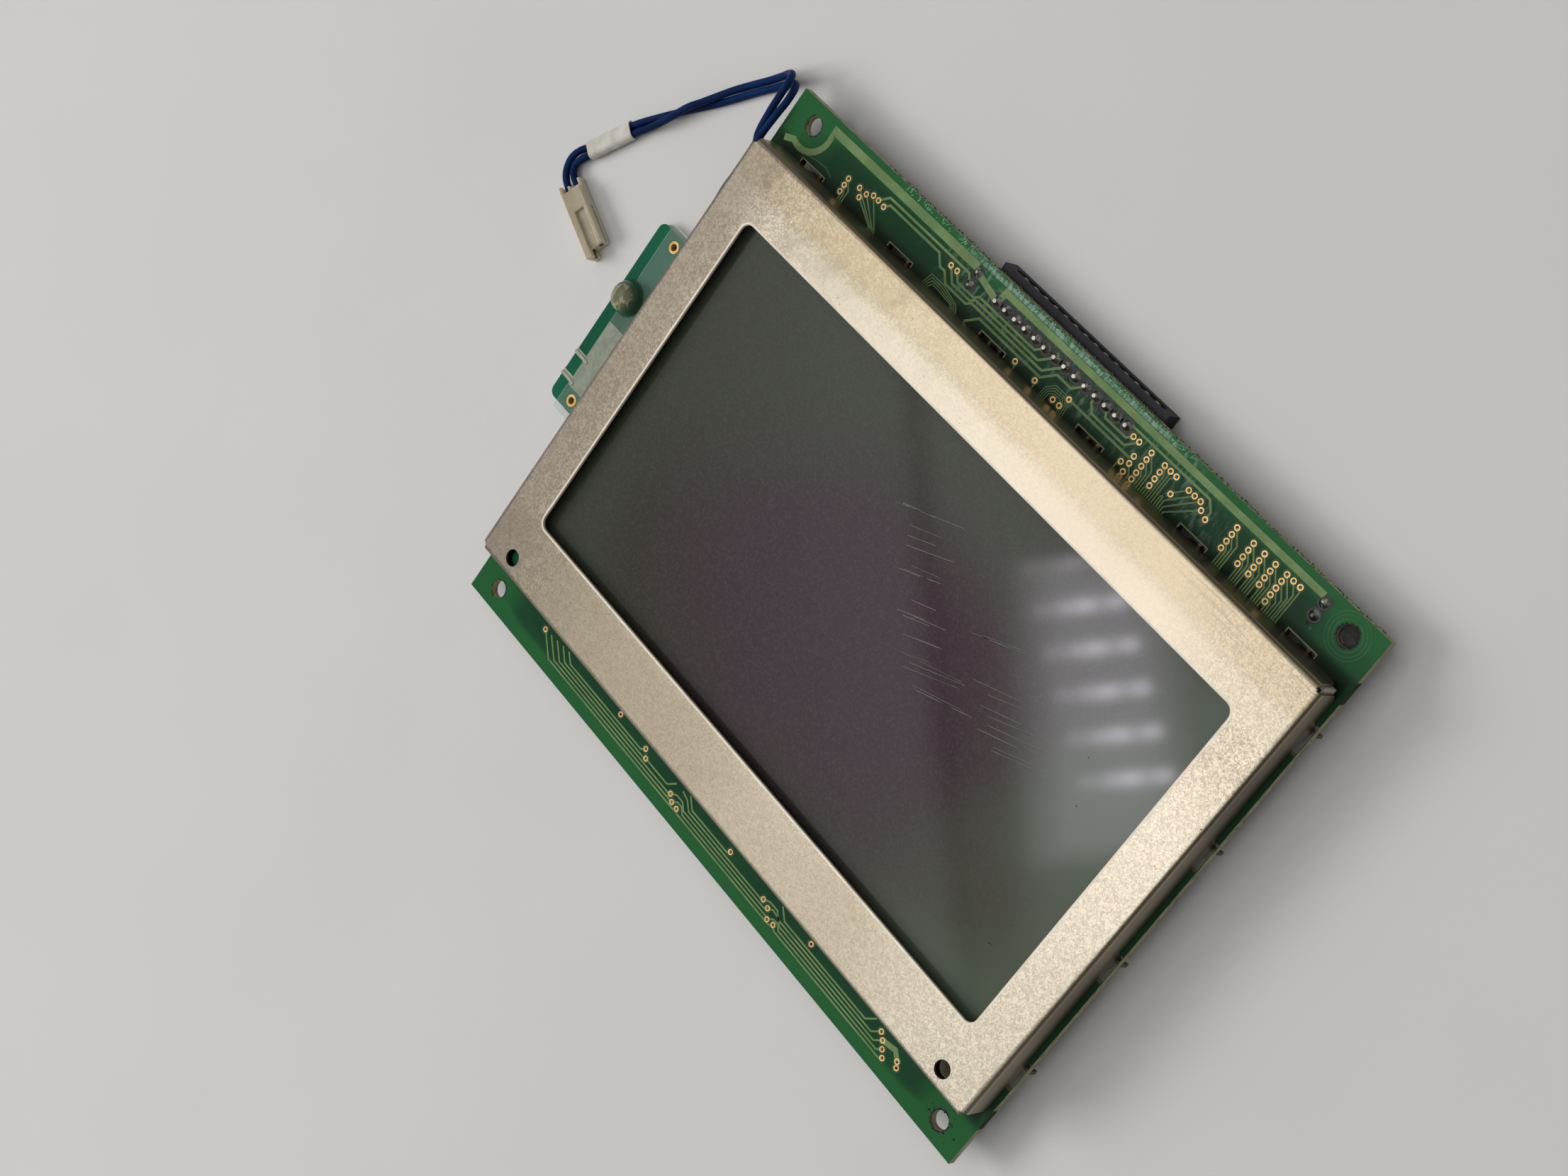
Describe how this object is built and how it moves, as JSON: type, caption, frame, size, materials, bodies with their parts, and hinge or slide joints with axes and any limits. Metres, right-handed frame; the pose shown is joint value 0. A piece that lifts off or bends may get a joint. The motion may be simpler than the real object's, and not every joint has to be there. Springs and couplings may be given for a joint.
{
  "type": "lcd module",
  "caption": "Flat graphic display module: a glass panel in a folded steel bezel on a green circuit board, with an edge header, a side board and a short lamp lead that ends in a plug.",
  "frame": {"origin": "middle of the rectangle of mounting holes, on the rear face of the main board", "axes": "+X along the long edges, away from the side board and the lamp lead; +Y across, towards the header; +Z out of the screen"},
  "size_m": [0.1873, 0.1175, 0.0118],
  "materials": {
    "board": "green solder mask, satin",
    "bezel_steel": "plated sheet steel, satin, faintly mottled",
    "black_rubber": "matt",
    "polariser": "matt film",
    "panel_glass": "clear",
    "lamp_film": "laminated film",
    "tin_plate": "tin plate",
    "tray_plastic": "moulded",
    "strip_rubber": "soft",
    "header_plastic": "moulded, fine grain",
    "solder": "bright solder",
    "side_board": "green solder mask",
    "gold_plate": "gold plate",
    "resin": "clear olive resin",
    "white_ink": "printed",
    "clear_film": "clear film",
    "grey_foam": "soft foam",
    "chip_plastic": "moulded, fine grain",
    "capacitor": "fired",
    "resistor": "coated",
    "wire_jacket": "soft insulation",
    "white_sleeve": "matt sleeve",
    "plug_nylon": "ivory moulding"
  },
  "bodies": {
    "root": {"main_board": "board", "bezel": "bezel_steel", "gasket": "black_rubber", "front_polariser": "polariser", "front_glass": "panel_glass", "rear_glass": "panel_glass", "rear_polariser": "polariser", "lamp_panel": "lamp_film", "lamp_terminals": "tin_plate", "tray": "tray_plastic", "upper_contact_strip": "strip_rubber", "lower_contact_strip": "strip_rubber", "header_body": "header_plastic", "header_contacts": "tin_plate", "header_joints": "solder", "spare_joints": "solder", "side_board": "side_board", "side_board_eyelets": "gold_plate", "resin_blob": "resin", "white_patch": "white_ink", "clear_film": "clear_film", "foam_pads": "grey_foam", "controller_chip": "chip_plastic", "memory_chips": "chip_plastic", "column_driver_chips": "chip_plastic", "row_driver_chips": "chip_plastic", "amplifier_chip": "chip_plastic", "chip_capacitors": "capacitor", "chip_resistors": "resistor", "wire_a": "wire_jacket", "wire_b": "wire_jacket", "marker_sleeve": "white_sleeve", "plug_housing": "plug_nylon", "crimp_terminals": "tin_plate"}
  },
  "joints": []
}
